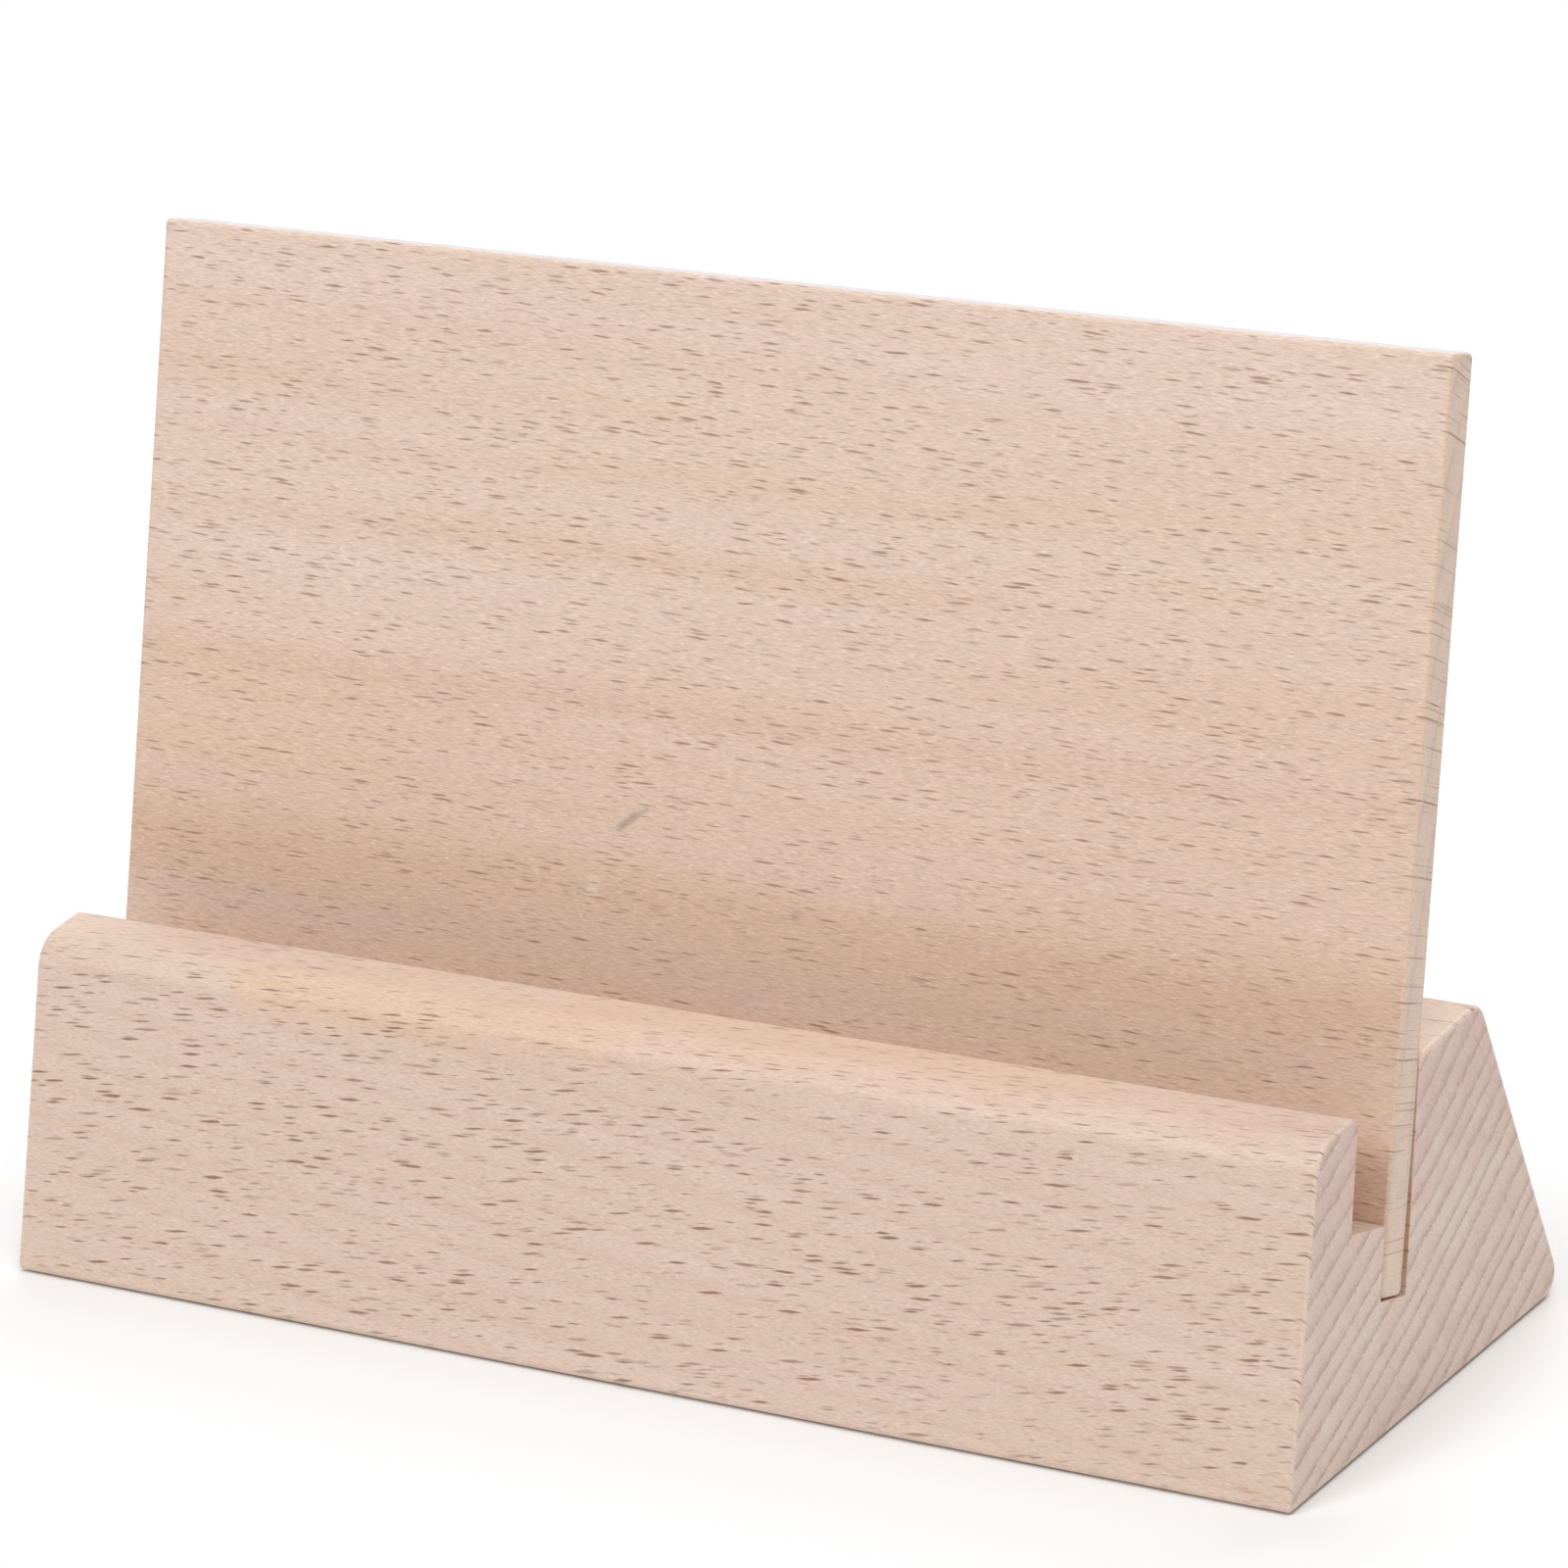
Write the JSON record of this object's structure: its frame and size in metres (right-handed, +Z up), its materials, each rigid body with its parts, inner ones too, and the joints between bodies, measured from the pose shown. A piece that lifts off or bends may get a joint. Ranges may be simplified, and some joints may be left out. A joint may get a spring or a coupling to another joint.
{
  "type": "photo block holder",
  "caption": "Solid wood block with a slanted, stepped slot that holds a loose back board, so that a card or photo can lean on it behind a low lip.",
  "frame": {"origin": "middle of the block's footprint, on the surface that it stands on", "axes": "+X along the length of the block, +Y from the lip to the rear, +Z up"},
  "size_m": [0.15, 0.0524, 0.0982],
  "materials": {
    "block_beech": "bare fine-sanded steamed beech, matt, with dark ray flecks along the grain",
    "board_beech": "bare fine-sanded beech, matt, with fine short ray flecks and soft growth bands"
  },
  "bodies": {
    "block": {"base_block": "block_beech"},
    "board": {"back_board": "board_beech"}
  },
  "joints": [
    {"name": "board_lift", "type": "slide", "parent": "block", "child": "board", "axis": [0, 0.2997, 0.954], "range_m": [0, 0.03]}
  ]
}
